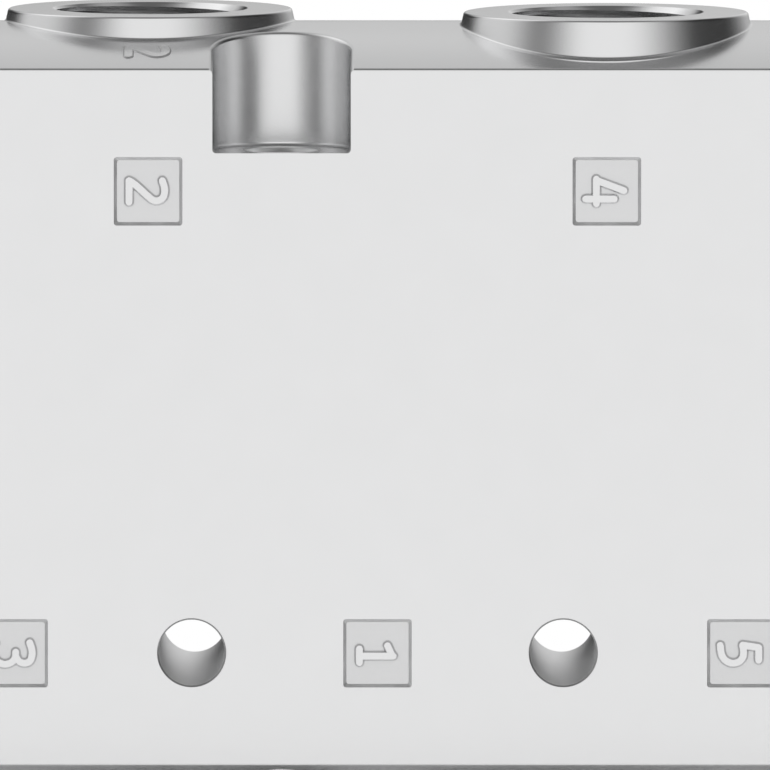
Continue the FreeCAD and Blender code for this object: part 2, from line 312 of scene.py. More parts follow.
class Shader:
    """Builds the nodes of one material or world."""

    def __init__(self, owner):
        owner.use_nodes = True
        self.tree = owner.node_tree
        self.tree.nodes.clear()

    def node(self, kind, settings=None, inputs=None, output=0):
        """Adds a node, with its settings before the values or links of its sockets."""
        made = self.tree.nodes.new(kind)
        for name, value in (settings or {}).items():
            if name == "stops":
                ramp = made.color_ramp.elements
                while len(ramp) < len(value):
                    ramp.new(0.5)
                for stop, (place, level) in zip(ramp, value):
                    stop.position = place
                    stop.color = grey(level)
            else:
                setattr(made, name, value)
        for name, value in (inputs or {}).items():
            if isinstance(value, Value):
                self.tree.links.new(value.socket, made.inputs[name])
            else:
                made.inputs[name].default_value = value
        return Value(self, made.outputs[output]) if made.outputs else made

    def math(self, operation, first, second=0.0):
        return self.node("ShaderNodeMath", {"operation": operation}, {0: first, 1: second})

    def mix(self, factor, first, second):
        """Colour that goes from the first to the second."""
        settings = {"data_type": "RGBA"}
        return self.node("ShaderNodeMix", settings, {0: factor, 6: first, 7: second}, output=2)

    def smooth(self, value, low, high):
        """0 below low and 1 above high, with a smooth step between."""
        settings = {"interpolation_type": "SMOOTHSTEP"}
        return self.node("ShaderNodeMapRange", settings, {0: value, 1: low, 2: high})

    def spot(self, cosine, inner, outer):
        """1 within the inner angle in degrees, 0 beyond the outer angle, for the cosine of an angle."""
        off = self.math("ARCCOSINE", cosine)
        return 1 - self.smooth(off, math.radians(inner), math.radians(outer))

    def noise(self, place, size, detail):
        """Cloudy pattern about 0.5 with features of that size in millimetres."""
        inputs = {"Vector": place, "Scale": 1 / (size * MM), "Detail": detail}
        return self.node("ShaderNodeTexNoise", None, inputs)

    def bump(self, height, depth):
        """Normal for a height pattern from 0 to 1 that is that deep in millimetres."""
        return self.node("ShaderNodeBump", None, {"Height": height, "Distance": depth * MM})

    def finish(self, surface):
        self.node("ShaderNodeOutputMaterial", None, {"Surface": surface})


def grey(level):
    return (level, level, level, 1.0)


def surface(name, make):
    """Material whose Principled sockets come from make(shader, object coordinates)."""
    material = bpy.data.materials.new(name)
    shader = Shader(material)
    place = shader.node("ShaderNodeTexCoord", output=3)
    shader.finish(shader.node("ShaderNodeBsdfPrincipled", None, make(shader, place)))
    return material


def clouded(shader, place, size, detail, colours, spread, least, metallic=1.0):
    """Finish whose colour and roughness vary in soft clouds of that size in millimetres."""
    clouds = shader.noise(place, size, detail)
    return {
        "Base Color": shader.mix(clouds, *((*colour, 1) for colour in colours)),
        "Metallic": metallic,
        "Roughness": clouds * spread + least,
    }


def cast_skin(shader, place):
    """Tumbled die-cast aluminium: faint clouding and a fine grain."""
    colours = (0.755, 0.757, 0.76), (0.785, 0.786, 0.79)
    grain = shader.noise(place, 0.12, 3.0)
    return clouded(shader, place, 2.5, 4.0, colours, 0.06, 0.2) | {"Normal": shader.bump(grain, 0.0015)}


def raw_casting(shader, place):
    """Skin straight from the die, in the pockets that no tumbling reaches: a little darker."""
    colours = (0.73, 0.732, 0.736), (0.77, 0.771, 0.774)
    grain = shader.noise(place, 0.09, 3.0)
    return clouded(shader, place, 0.8, 4.0, colours, 0.08, 0.2) | {"Normal": shader.bump(grain, 0.003)}


def cored_hole(shader, place):
    """Skin of the cored holes: rough and dull, so little light comes through them."""
    return clouded(shader, place, 0.6, 4.0, ((0.80, 0.802, 0.806), (0.85, 0.851, 0.854)), 0.1, 0.26)


def etched_recess(shader, place):
    """Dull grain that the die's etched number blocks leave in the recesses."""
    colours = (0.72, 0.722, 0.726), (0.76, 0.761, 0.764)
    grain = shader.noise(place, 0.07, 3.0)
    return clouded(shader, place, 0.3, 4.0, colours, 0.1, 0.4) | {"Normal": shader.bump(grain, 0.004)}


def painted_edge_shade(shader, place):
    """Painted shade: a dark grey on the rims of the side holes and round the crown's small number, so that
    they read as dark outlines.
    """
    return clouded(shader, place, 0.2, 4.0, ((0.42, 0.422, 0.425), (0.50, 0.501, 0.504)), 0.1, 0.35)


def machined_face(shader, place):
    """Turned aluminium, brighter and smoother than the cast skin."""
    return clouded(shader, place, 1.5, 4.0, ((0.77, 0.772, 0.775), (0.80, 0.801, 0.805)), 0.05, 0.12)


def moulded_black(shader, place):
    """Glass-filled nylon with a fine eroded texture."""
    grain = shader.noise(place, 0.18, 3.0)
    clouds = shader.noise(place, 4.0, 3.0)
    return {
        "Base Color": shader.mix(clouds, grey(0.022), grey(0.034)),
        "Roughness": grain * 0.12 + 0.42,
        "Normal": shader.bump(grain, 0.006),
    }


def black_rubber(shader, place):
    """Nitrile rubber with a little dust in its pores."""
    dust = shader.noise(place, 0.8, 4.0)
    return {
        "Base Color": shader.mix(dust, grey(0.018), grey(0.032)),
        "Roughness": dust * 0.15 + 0.6,
        "Normal": shader.bump(dust, 0.004),
    }


def zinc_plate(shader, place):
    return clouded(shader, place, 0.9, 3.0, ((0.56, 0.575, 0.60), (0.66, 0.67, 0.68)), 0.1, 0.24)


def cream_acetal(shader, place):
    colours = (0.80, 0.785, 0.72), (0.85, 0.84, 0.79)
    return clouded(shader, place, 1.6, 3.0, colours, 0.1, 0.34, metallic=0.0)


def amber_polymer(shader, place):
    colours = (0.62, 0.40, 0.13), (0.72, 0.50, 0.19)
    return clouded(shader, place, 1.2, 3.0, colours, 0.1, 0.28, metallic=0.0)


def ground_steel(shader, place):
    """Ground and polished stainless steel, with fine lines round the spool."""
    inputs = {"Vector": place, "Scale": 1800.0, "Distortion": 1.5, "Detail": 2.0}
    lines = shader.node("ShaderNodeTexWave", {"bands_direction": "X"}, inputs, output=1)
    return {
        "Base Color": (0.66, 0.66, 0.665, 1),
        "Metallic": 1.0,
        "Roughness": lines * 0.06 + 0.14,
        "Normal": shader.bump(lines, 0.0006),
    }


def drawn_wire(shader, place):
    return clouded(shader, place, 0.5, 3.0, ((0.36, 0.36, 0.37), (0.46, 0.46, 0.47)), 0.12, 0.26)


def sintered_bronze(shader, place):
    """Small bronze balls pressed and fused together."""
    balls = shader.node("ShaderNodeTexVoronoi", {"feature": "F1"}, {"Vector": place, "Scale": 5200.0})
    return {
        # The colour darkens from each ball's middle towards the gaps between balls: painted shade in the
        # pores
        "Base Color": shader.mix(balls, (0.62, 0.42, 0.20, 1), (0.16, 0.10, 0.05, 1)),
        "Metallic": 1.0,
        "Roughness": balls * 0.2 + 0.35,
        "Normal": shader.bump(1 - balls, 0.05),
    }


def lathe(profile, steps=TURN_STEPS, closed=False):
    """Solid of revolution about Z from (radius, height) points; open profiles start and end on the axis."""
    bm = bmesh.new()
    verts = [bm.verts.new((radius, 0, height)) for radius, height in profile]
    pairs = list(zip(verts, verts[1:]))
    if closed:
        pairs.append((verts[-1], verts[0]))
    edges = [bm.edges.new(pair) for pair in pairs]
    bmesh.ops.spin(bm, geom=verts + edges, axis=(0, 0, 1), angle=math.tau, steps=steps, use_merge=True)
    bmesh.ops.remove_doubles(bm, verts=bm.verts, dist=1e-5)
    bmesh.ops.recalc_face_normals(bm, faces=bm.faces)
    return bm


def turned_to(bm, axis):
    """Turns a shape made along Z so that it lies along the axis."""
    turn = Vector((0, 0, 1)).rotation_difference(Vector(axis)).to_matrix()
    bmesh.ops.rotate(bm, verts=bm.verts, matrix=turn)
    return bm


def moved_to(bm, place):
    bmesh.ops.translate(bm, verts=bm.verts, vec=place)
    return bm


def rounded(bm, edges, size, segments):
    bmesh.ops.bevel(
        bm, geom=list(edges), offset=size, segments=segments, profile=0.5, affect="EDGES", material=-1
    )
    return bm


def creases(bm, angle):
    """Edges between faces that meet at more than the angle, in degrees."""
    limit = math.radians(angle)
    return [e for e in bm.edges if len(e.link_faces) == 2 and e.calc_face_angle() > limit]


def grown(bm, face):
    """Extrudes a face and gives the new one; the old one stays only as the first face of a shape."""
    first = len(bm.faces) == 1
    made = bmesh.ops.extrude_face_region(bm, geom=[face])["geom"]
    if not first:
        bmesh.ops.delete(bm, geom=[face], context="FACES_ONLY")
    return next(g for g in made if isinstance(g, bmesh.types.BMFace))


def finished(bm, finish):
    """Gives every face of the shape one of the casting's finishes."""
    for face in bm.faces:
        face.material_index = finish
    return bm


def to_object(bm, name):
    mesh = bpy.data.meshes.new(name)
    bm.to_mesh(mesh)
    bm.free()
    made = bpy.data.objects.new(name, mesh)
    bpy.context.scene.collection.objects.link(made)
    return made


def to_bmesh(made):
    """Takes an object away and gives its mesh, with modifiers and curves worked out."""
    shaped = made.evaluated_get(bpy.context.evaluated_depsgraph_get())
    mesh = bpy.data.meshes.new_from_object(shaped)
    bm = bmesh.new()
    bm.from_mesh(mesh)
    bpy.data.meshes.remove(mesh)
    bpy.data.objects.remove(made)
    return bm


def settle(made):
    """Puts an object's modifiers into its mesh."""
    shaped = made.evaluated_get(bpy.context.evaluated_depsgraph_get())
    mesh = bpy.data.meshes.new_from_object(shaped)
    made.modifiers.clear()
    old = made.data
    made.data = mesh
    bpy.data.meshes.remove(old)
    return made


def joined(shapes):
    """One mesh that holds several separate solids."""
    whole = bmesh.new()
    for bm in shapes:
        part = bpy.data.meshes.new("part")
        bm.to_mesh(part)
        bm.free()
        whole.from_mesh(part)
        bpy.data.meshes.remove(part)
    return whole


def combine(made, shapes, operation):
    """Adds the solids to the object or cuts them out of it; the solids don't touch each other."""
    tool = to_object(joined(shapes), "tool")
    step = made.modifiers.new(operation, "BOOLEAN")
    step.operation = operation
    step.solver = "MANIFOLD"
    step.object = tool
    settle(made)
    bpy.data.objects.remove(tool)
    return made


def rod(radius, start, end):
    """Round rod from one point to another."""
    start, end = Vector(start), Vector(end)
    profile = [(0, 0), (radius, 0), (radius, (end - start).length), (0, (end - start).length)]
    return moved_to(turned_to(lathe(profile), end - start), start)


def hole(radius, bottom, mouth, lip=0.1):
    """Space of a round hole from its bottom to a mouth with a broken edge, and on past the mouth."""
    bottom, mouth = Vector(bottom), Vector(mouth)
    depth = (mouth - bottom).length
    profile = [(0, 0), (radius, 0), (radius, depth - lip), (radius + lip * 0.2, depth - lip * 0.7)]
    profile += [(radius + lip * 0.7, depth - lip * 0.2), (radius + lip, depth)]
    profile += [(radius + lip, depth + PAST), (0, depth + PAST)]
    return moved_to(turned_to(lathe(profile), mouth - bottom), bottom)


def thread_ridge(crest_r, root_r, pitch, start, end, steps):
    """Helical ridge of a thread about Z; its root lies a little inside the metal that carries it."""
    bm = bmesh.new()
    # Radius, and place along the axis as a share of the pitch
    corners = ((root_r, -0.41), (crest_r, -0.08), (crest_r, 0.08), (root_r, 0.41))
    section = bm.faces.new([bm.verts.new((radius, 0, start + rise * pitch)) for radius, rise in corners])
    turns = (end - start) / pitch
    rise = (0, 0, pitch / steps)
    count = round(turns * steps)
    bmesh.ops.spin(bm, geom=[section], axis=(0, 0, 1), dvec=rise, angle=math.tau * turns, steps=count)
    bmesh.ops.recalc_face_normals(bm, faces=bm.faces)
    return bm


def crown_height(y):
    """Height of the casting's crowned top at a distance from the middle."""
    return HIGH_EDGE + CROWN_RISE - CROWN_R + math.sqrt(CROWN_R ** 2 - y ** 2)


def crowned_bar(x_from, x_to, inset, edge_rounds, end_round=0.0):
    """Bar along X with the body's crowned section, drawn in by inset; its long edges are rounded."""
    bm = bmesh.new()
    half = HALF_WIDTH - inset
    crown_r = (half ** 2 + CROWN_RISE ** 2) / (2 * CROWN_RISE)
    crown_drop = crown_r - CROWN_RISE
    ends = []
    for side, edge_z, edge_round in zip((1, -1), (HIGH_EDGE - inset, LOW_EDGE + inset), edge_rounds):
        corner_y = half - edge_round
        crown_turn = math.asin(corner_y / (crown_r - edge_round))
        corner_drop = crown_drop - (crown_r - edge_round) * math.cos(crown_turn)
        crown_z, corner_z = edge_z - side * crown_drop, edge_z - side * corner_drop
        start = last = bm.verts.new((x_from, -half, corner_z))
        corner_turn = math.pi / 2 - crown_turn
        arcs = (
            (-corner_y, corner_z, corner_turn, EDGE_STEPS),
            (0, crown_z, 2 * crown_turn, CROWN_STEPS),
            (corner_y, corner_z, corner_turn, EDGE_STEPS),
        )
        for y, z, sweep, steps in arcs:
            arc = bmesh.ops.spin(
                bm, geom=[last], cent=(x_from, y, z), axis=(1, 0, 0), angle=-side * sweep, steps=steps
            )
            last = arc["geom_last"][0]
        ends.append((start, last))
    (top_front, top_back), (low_front, low_back) = ends
    bm.edges.new((top_front, low_front))
    bm.edges.new((top_back, low_back))
    face = bmesh.ops.contextual_create(bm, geom=bm.edges)["faces"][0]
    bmesh.ops.translate(bm, verts=grown(bm, face).verts, vec=(x_to - x_from, 0, 0))
    bmesh.ops.recalc_face_normals(bm, faces=bm.faces)
    if end_round:
        end = [e for e in bm.edges if all(abs(v.co.x - x_to) < SAME for v in e.verts)]
        rounded(bm, end, end_round, 6)
    return bm


def port_side(bm, place, up):
    """Stands a shape made about Z on its port, with height 0 at the collar's face, on top or underneath."""
    moved_to(bm, (place[0], up * place[1], TOP_FACE))
    if up < 0:
        turn = Matrix.Rotation(math.pi, 3, "X")
        bmesh.ops.rotate(bm, verts=bm.verts, cent=(0, 0, SPOOL_Z), matrix=turn)
    return bm


def collar(place, up):
    """Raised ring of a port: turned rim, slightly drafted wall and a foot that follows the crown."""
    flat_depth = 1.0
    foot = COLLAR_R + COLLAR_FOOT
    # Below the foot's edge the ring lies inside the bar
    profile = [(0, -2 * flat_depth), (foot + 0.2, -2 * flat_depth), (foot + 0.14, -flat_depth - 0.03)]
    for i in range(7):
        turn = math.radians(12 + 13 * i)
        inward, rise = COLLAR_FOOT * math.sin(turn), COLLAR_FOOT * (1 - math.cos(turn))
        profile.append((foot - inward, rise - flat_depth))
    for i in range(5):
        turn = math.radians(22.5 * i)
        profile.append((COLLAR_R - COLLAR_RIM * (1 - math.cos(turn)), COLLAR_RIM * (math.sin(turn) - 1)))
    profile.append((0, 0))
    bm = lathe(profile)
    for face in bm.faces:
        if face.calc_center_median().z > -COLLAR_RIM:
            face.material_index = TURNED
    for vert in bm.verts:
        if vert.co.z < -COLLAR_RIM - 0.01:
            depth = TOP_FACE - crown_height(vert.co.y + up * place[1])
            wider = 1 + COLLAR_DRAFT * depth / COLLAR_R
            vert.co = (vert.co.x * wider, vert.co.y * wider, vert.co.z + flat_depth - depth)
    return port_side(bm, place, up)


def port_mouth(place, up):
    """Space of a port's countersink and of its thread, out to the thread's root."""
    rim = 0.05
    profile = [(0, PAST), (SINK_R + rim, PAST)]
    profile += [(SINK_R + rim, HAIR), (SINK_R + 0.45 * rim, -0.35 * rim), (SINK_R, -rim)]
    profile += [(THREAD_MAJOR, THREAD_MAJOR - SINK_R - rim), (THREAD_MAJOR, -PORT_DEPTH), (0, -PORT_DEPTH)]
    return finished(port_side(lathe(profile), place, up), TURNED)


def port_threads():
    """The ridges of all five port threads, each cut back by its countersink."""
    depth, margin = SINK_R - THREAD_MINOR + 0.1, 0.05
    start, end = 0.6 - PORT_DEPTH, 0.2
    whole = thread_ridge(THREAD_MINOR, THREAD_MAJOR + ROOT_SET, THREAD_PITCH, start, end, PORT_THREAD_STEPS)
    ridge = to_object(whole, "ridge")
    sink = [(0, PAST), (SINK_R + PAST, PAST), (SINK_R + PAST, 0), (SINK_R + margin, 0)]
    sink += [(THREAD_MINOR - margin, -depth), (0, -depth)]
    combine(ridge, [lathe(sink)], "DIFFERENCE")
    ridges = []
    for place, up, _ in PORTS.values():
        bm = bmesh.new()
        bm.from_mesh(ridge.data)
        ridges.append(finished(port_side(bm, place, up), TURNED))
    bpy.data.objects.remove(ridge)
    return ridges


def channel(place, up, chamber_x):
    """Passage from a port's thread to its air chamber."""
    start = (place[0], place[1], SPOOL_Z + up * (SPOOL_Z - PORT_DEPTH + CHANNEL_R))
    return rod(CHANNEL_R, start, (chamber_x, 0, SPOOL_Z))


def side_hole(x):
    """Space of a through hole from front to back, with a shallow rim at each mouth in painted shade."""
    half, wide = HALF_WIDTH, MOUNT_HOLE_R + HOLE_RIM
    rim_end = half - 0.78 * HOLE_RIM
    mouth = [(wide, half + PAST), (wide, half + HAIR), (MOUNT_HOLE_R, rim_end)]
    far_mouth = [(radius, -place) for radius, place in reversed(mouth)]
    profile = [(0, half + PAST)] + mouth + far_mouth + [(0, -half - PAST)]
    bm = finished(moved_to(turned_to(lathe(profile), (0, 1, 0)), (x, 0, SIDE_HOLE_Z)), CORED)
    # The rims carry painted shade, a dark grey that draws them as dark outlines
    for face in bm.faces:
        if abs(face.calc_center_median().y) > rim_end:
            face.material_index = EDGE_SHADE
    return bm


def pocket(turn):
    """U-shaped space for a screw head, open to the top and the front, or to the back if turn is -1."""
    bm = bmesh.new()
    floor_z = HIGH_EDGE - POCKET_FALL
    reach = HALF_WIDTH + PAST
    centre = (-POCKET_X, -(HALF_WIDTH - POCKET_DEPTH + POCKET_R), floor_z)
    start = bm.verts.new((centre[0] + POCKET_R, centre[1], floor_z))
    made = bmesh.ops.spin(bm, geom=[start], cent=centre, axis=(0, 0, 1), angle=math.pi, steps=64)
    corners = [start, bm.verts.new((centre[0] + POCKET_R, -reach, floor_z))]
    corners += [bm.verts.new((centre[0] - POCKET_R, -reach, floor_z)), made["geom_last"][0]]
    for pair in zip(corners, corners[1:]):
        bm.edges.new(pair)
    face = bmesh.ops.contextual_create(bm, geom=bm.edges)["faces"][0]
    middle = Matrix.Translation((-centre[0], -centre[1], 0))
    radius = POCKET_R
    for i in range(6):
        sweep = math.radians(16 * i)
        wider = POCKET_R + POCKET_LIP * (1 - math.cos(sweep))
        face = grown(bm, face)
        bmesh.ops.scale(bm, verts=face.verts, vec=(wider / radius, wider / radius, 1), space=middle)
        for vert in face.verts:
            vert.co.z = crown_height(vert.co.y) + POCKET_LIP * (math.sin(sweep) - 1)
        radius = wider
    for vert in grown(bm, face).verts:
        vert.co.z = TOP_FACE + PAST
    low = [e for e in creases(bm, 60) if all(abs(v.co.z - floor_z) < SAME for v in e.verts)]
    rounded(bm, low, POCKET_CORNER, 5)
    bmesh.ops.recalc_face_normals(bm, faces=bm.faces)
    if turn < 0:
        bmesh.ops.rotate(bm, verts=bm.verts, matrix=Matrix.Rotation(math.pi, 3, "Z"))
    return finished(bm, RAW)


def recess(x, height):
    """Shallow square space for a number, with rounded corners and drafted walls."""
    bm = bmesh.new()
    bmesh.ops.create_cube(bm, size=1)
    bmesh.ops.scale(bm, verts=bm.verts, vec=(RECESS_SIDE, 2 * RECESS_DEPTH, RECESS_SIDE))
    upright = [e for e in bm.edges if abs(e.verts[0].co.y - e.verts[1].co.y) > SAME]
    rounded(bm, upright, RECESS_ROUND, 5)
    wider = 1 + 4 * RECESS_DRAFT / RECESS_SIDE
    mouth = [v for v in bm.verts if v.co.y < 0]
    bmesh.ops.scale(bm, verts=mouth, vec=(wider, 1, wider))
    bmesh.ops.recalc_face_normals(bm, faces=bm.faces)
    return finished(moved_to(bm, (x, -HALF_WIDTH, height)), ETCHED)


def stroke(points, section):
    """One stroke of a numeral: a rib with sloping sides and square ends along a smooth line."""
    line = bpy.data.curves.new("stroke", "CURVE")
    line.dimensions = "3D"
    line.twist_mode = "Z_UP"
    line.bevel_mode = "OBJECT"
    line.bevel_object = section
    line.use_fill_caps = True
    run = line.splines.new("BEZIER")
    run.resolution_u = 8
    run.bezier_points.add(len(points) - 1)
    for knot, (right, up) in zip(run.bezier_points, points):
        knot.co = (right, up, 0)
        knot.handle_left_type = knot.handle_right_type = "AUTO"
    made = bpy.data.objects.new("stroke", line)
    bpy.context.scene.collection.objects.link(made)
    bm = to_bmesh(made)
    bmesh.ops.remove_doubles(bm, verts=bm.verts, dist=1e-4)
    bmesh.ops.recalc_face_normals(bm, faces=bm.faces)
    return bm


def rib_section():
    """Cross-section of a numeral's stroke, from a little under the recess floor to the front face."""
    line = bpy.data.curves.new("section", "CURVE")
    run = line.splines.new("POLY")
    corners = RIB + [(-across, height) for across, height in reversed(RIB)]
    run.points.add(len(corners) - 1)
    for knot, (across, height) in zip(run.points, corners):
        knot.co = (across, height, 0, 1)
    run.use_cyclic_u = True
    made = bpy.data.objects.new("section", line)
    bpy.context.scene.collection.objects.link(made)
    return made


def numeral(number, section):
    """A port's number, top up in the XY plane; each of its shapes is a hair smaller than the last."""
    first, *others = [stroke(points, section) for points in STROKES[number]]
    ends = {points[end] for points in STROKES[number] for end in (0, -1)}
    button = [(0, RIB[0][1])] + RIB + [(0, RIB[-1][1])]
    others += [moved_to(lathe(button, 24), (*end, 0)) for end in sorted(ends)]
    made = to_object(first, "numeral")
    for count, other in enumerate(others, start=1):
        middle = sum((v.co for v in other.verts), Vector()) / len(other.verts)
        middle.z = 0
        size = 1 - NUMBER_SHRINK * count
        bmesh.ops.scale(other, verts=other.verts, vec=(size, size, size), space=Matrix.Translation(-middle))
        combine(made, [other], "UNION")
    return to_bmesh(made)


def placed(bm, right, up, out, place):
    """Puts a shape down by three axes and a place."""
    turn = Matrix((right, up, out)).transposed().to_4x4()
    bmesh.ops.transform(bm, verts=bm.verts, matrix=Matrix.Translation(place) @ turn)
    return bm


def port_numbers():
    """The numbers in the recesses, read from the spring end, and a flat 2 on the crown by port 2."""
    section = rib_section()
    shapes = []
    for number, (place, up, _) in PORTS.items():
        height = HIGH_RECESS if up > 0 else LOW_RECESS
        middle = (place[0], RECESS_DEPTH - HALF_WIDTH, height)
        shapes.append(placed(numeral(number, section), (0, 0, -1), (1, 0, 0), (0, -1, 0), middle))
    small = numeral("2", section)
    flat = CROWN_NUMBER_RISE / RECESS_DEPTH
    bmesh.ops.scale(small, verts=small.verts, vec=(*CROWN_NUMBER_SIZE, flat))
    placed(small, (0, -1, 0), (1, 0, 0), (0, 0, 1), (PORTS["2"][0][0], CROWN_NUMBER_Y, 0))
    for vert in small.verts:
        vert.co.z += crown_height(vert.co.y)
    small.normal_update()
    # The small number's sloping faces carry painted shade, so that they show as dark outlines
    for face in small.faces:
        if face.normal.z < 0.9:
            face.material_index = EDGE_SHADE
    bpy.data.objects.remove(section)
    return shapes + [small]


def casting():
    """The die-cast body: crowned bar with collars, ports, pockets, holes and number recesses."""
    half = BODY_LENGTH / 2
    made = to_object(crowned_bar(-half, half, 0, EDGE_ROUNDS), "casting")
    for name in CASTING:
        made.data.materials.append(MATERIALS[name])
    combine(made, [collar(place, up) for place, up, _ in PORTS.values()], "UNION")
    spaces = [port_mouth(place, up) for place, up, _ in PORTS.values()]
    spaces += [recess(place[0], HIGH_RECESS if up > 0 else LOW_RECESS) for place, up, _ in PORTS.values()]
    spaces += [pocket(turn) for turn in (1, -1)]
    spaces += [side_hole(x) for x in (-SIDE_HOLE_X, SIDE_HOLE_X)]
    combine(made, spaces, "DIFFERENCE")
    combine(made, port_numbers() + port_threads(), "UNION")
    deeper = [channel(*port) for port in PORTS.values()]
    for turn in (1, -1):
        x, y = -turn * POCKET_X, -turn * (HALF_WIDTH - POCKET_DEPTH + POCKET_R)
        base_hole = hole(MOUNT_HOLE_R, (x, y, -PAST), (x, y, HIGH_EDGE - POCKET_FALL), POCKET_HOLE_LIP)
        deeper.append(finished(base_hole, CORED))
        seat, face = (turn * (half - FLANGE_SEAT_DEPTH), 0, SPOOL_Z), (turn * half, 0, SPOOL_Z)
        deeper.append(finished(hole(FLANGE_SEAT_R, seat, face), TURNED))
        for y, z in SCREW_PLACES:
            tapped = hole(TAPPED_R, (turn * (half - TAPPED_DEPTH), y, z), (turn * half, y, z))
            deeper.append(finished(tapped, TURNED))
    combine(made, deeper, "DIFFERENCE")
    bore = rod(BORE_R, (-half - 2 * PAST, 0, SPOOL_Z), (half + 2 * PAST, 0, SPOOL_Z))
    combine(made, [finished(bore, TURNED)], "DIFFERENCE")
    return made


def smooth_shaded(made):
    """Smooth shading that breaks at creases, with flat faces kept flat beside small rounds."""
    made.data.shade_smooth()
    made.data.set_sharp_from_angle(angle=math.radians(SHARP_ANGLE))
    weigh = made.modifiers.new("weighted normals", "WEIGHTED_NORMAL")
    weigh.keep_sharp = True
    return settle(made)


def piece(made, name, body, slot, *nodes):
    """Puts a finished shape into the frame as a piece that rides on a body and stands for CAD nodes."""
    made.name = name
    if not any(made.data.materials):
        made.data.materials.clear()
        made.data.materials.append(MATERIALS[FINISHES[slot]])
    smooth_shaded(made)
    made.data.transform(Matrix.Scale(MM, 4))
    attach(made, body)
    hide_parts(*nodes)
    return made


def cover(side, spaces):
    """Moulded end cover: crowned block with rounded edges, screw holes, counterbores and its own spaces."""
    face_x, end_x = cover_ends(side)
    made = to_object(crowned_bar(face_x, end_x, COVER_INSET, COVER_ROUNDS, COVER_END_ROUND), "cover")
    for y, z in SCREW_PLACES:
        spaces.append(hole(COUNTERBORE_R, (side * SCREW_SEAT, y, z), (end_x, y, z)))
    combine(made, spaces, "DIFFERENCE")
    through = [rod(SCREW_HOLE_R, (face_x - side, y, z), (end_x + side, y, z)) for y, z in SCREW_PLACES]
    return combine(made, through, "DIFFERENCE")


def cover_ends(side):
    """Places along X of a cover's joint face and outer face."""
    low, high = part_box("pilot_cover" if side > 0 else "return_cover")
    near, far = sorted((low.x / MM, high.x / MM), key=abs)
    return near, far


def pilot_cover():
    """Cover with the pilot cylinder and the threaded port 14 in a spot face."""
    face_x, end_x = cover_ends(1)
    cylinder = rod(CYLINDER_R, (face_x - PAST, 0, SPOOL_Z), (CYLINDER_FLOOR, 0, SPOOL_Z))
    spot = hole(PILOT_SPOT_R, (end_x - PILOT_SPOT_DEPTH, 0, SPOOL_Z), (end_x, 0, SPOOL_Z))
    made = cover(1, [cylinder, spot])
    mouth_x, plain = end_x - PILOT_SPOT_DEPTH, 0.5
    port = hole(PILOT_MAJOR, (CYLINDER_FLOOR - PAST, 0, SPOOL_Z), (mouth_x, 0, SPOOL_Z), MOULDED_LIP)
    combine(made, [port], "DIFFERENCE")
    end = mouth_x - CYLINDER_FLOOR - plain
    root_r = PILOT_MAJOR + ROOT_SET
    ridge = thread_ridge(PILOT_MINOR, root_r, PILOT_PITCH, plain, end, PILOT_THREAD_STEPS)
    moved_to(turned_to(ridge, (1, 0, 0)), (CYLINDER_FLOOR, 0, SPOOL_Z))
    return combine(made, [ridge], "UNION")


def return_cover():
    """Cover with the spring chamber, its breather hole and the filter's pocket."""
    face_x, end_x = cover_ends(-1)
    floor_x, pocket_x = end_x + SPRING_FLOOR, end_x + FILTER_POCKET_DEPTH
    chamber = rod(SPRING_CHAMBER_R, (face_x + PAST, 0, SPOOL_Z), (floor_x, 0, SPOOL_Z))
    filter_pocket = hole(FILTER_POCKET_R, (pocket_x, 0, SPOOL_Z), (end_x, 0, SPOOL_Z), MOULDED_LIP)
    made = cover(-1, [chamber, filter_pocket])
    return combine(made, [rod(BREATHER_R, (floor_x + PAST, 0, SPOOL_Z), (end_x, 0, SPOOL_Z))], "DIFFERENCE")


def gasket(side, hole_r):
    """Rubber sheet between the body and a cover, with the cover's outline."""
    face_x = side * BODY_LENGTH / 2
    outer_x = cover_ends(side)[0]
    made = to_object(crowned_bar(face_x, outer_x, COVER_INSET, COVER_ROUNDS), "gasket")
    cuts = [rod(SCREW_HOLE_R, (face_x - side, y, z), (outer_x + side, y, z)) for y, z in SCREW_PLACES]
    cuts.append(rod(hole_r, (face_x - side, 0, SPOOL_Z), (outer_x + side, 0, SPOOL_Z)))
    return combine(made, cuts, "DIFFERENCE")


